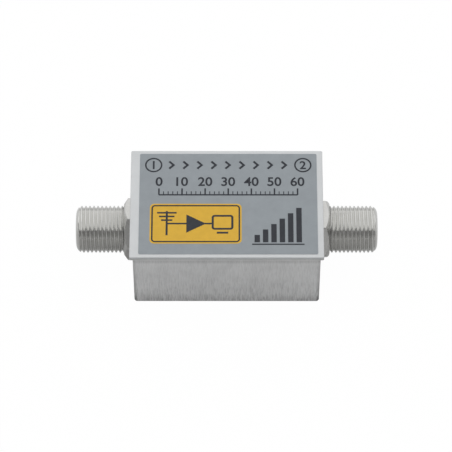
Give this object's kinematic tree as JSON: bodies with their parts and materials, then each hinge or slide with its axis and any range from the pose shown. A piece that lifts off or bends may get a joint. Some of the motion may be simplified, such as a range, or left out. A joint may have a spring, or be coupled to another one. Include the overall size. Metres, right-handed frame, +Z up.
{
  "type": "in-line tv aerial amplifier",
  "caption": "Small metal in-line amplifier for an aerial lead: drawn can with a labelled lift-off cover, a threaded coaxial socket with hex nut at each end, and a circuit board inside.",
  "frame": {"origin": "centre of the can's underside", "axes": "+X along the sockets, from input to output; +Z up, through the label"},
  "size_m": [0.059, 0.025, 0.0171],
  "materials": {
    "drawn_aluminium": "bare, with fine drawing lines up the walls",
    "pale_paint": "satin pale silver-grey paint",
    "printed_film": "matt blue-grey printed film",
    "nickel_plate": "satin nickel plate on brass",
    "nut_plate": "satin nickel plate on brass",
    "spring_steel": "zinc plated",
    "white_plastic": "milky white moulding",
    "contact_bronze": "bright spring bronze",
    "board_laminate": "green solder mask with copper tracks",
    "black_mould": "matt black moulding with tinned leads",
    "capacitor_can": "satin aluminium sleeve",
    "copper_wire": "enamelled copper",
    "ferrite": "dark grey sintered",
    "tan_ceramic": "tan ceramic with tinned ends",
    "dark_ceramic": "black glaze with tinned ends",
    "solder": "bright tin solder"
  },
  "bodies": {
    "housing": {"can": "drawn_aluminium", "input_socket": "nickel_plate", "output_socket": "nickel_plate", "input_nut": "nut_plate", "output_nut": "nut_plate", "input_washer": "spring_steel", "output_washer": "spring_steel", "input_insulator": "white_plastic", "output_insulator": "white_plastic", "input_bead": "white_plastic", "output_bead": "white_plastic", "input_contact": "contact_bronze", "output_contact": "contact_bronze", "circuit_board": "board_laminate", "amplifier_chip": "black_mould", "voltage_regulator": "black_mould", "protection_diode": "black_mould", "smoothing_capacitor": "capacitor_can", "input_coil": "copper_wire", "output_coil": "copper_wire", "choke_core": "ferrite", "choke_wire": "copper_wire", "chip_capacitors": "tan_ceramic", "chip_resistors": "dark_ceramic", "solder_joints": "solder"},
    "cover": {"cover": "pale_paint", "label": "printed_film"}
  },
  "joints": [
    {"name": "cover_lift", "type": "slide", "parent": "housing", "child": "cover", "axis": [0, 0, 1], "range_m": [0, 0.03]}
  ]
}
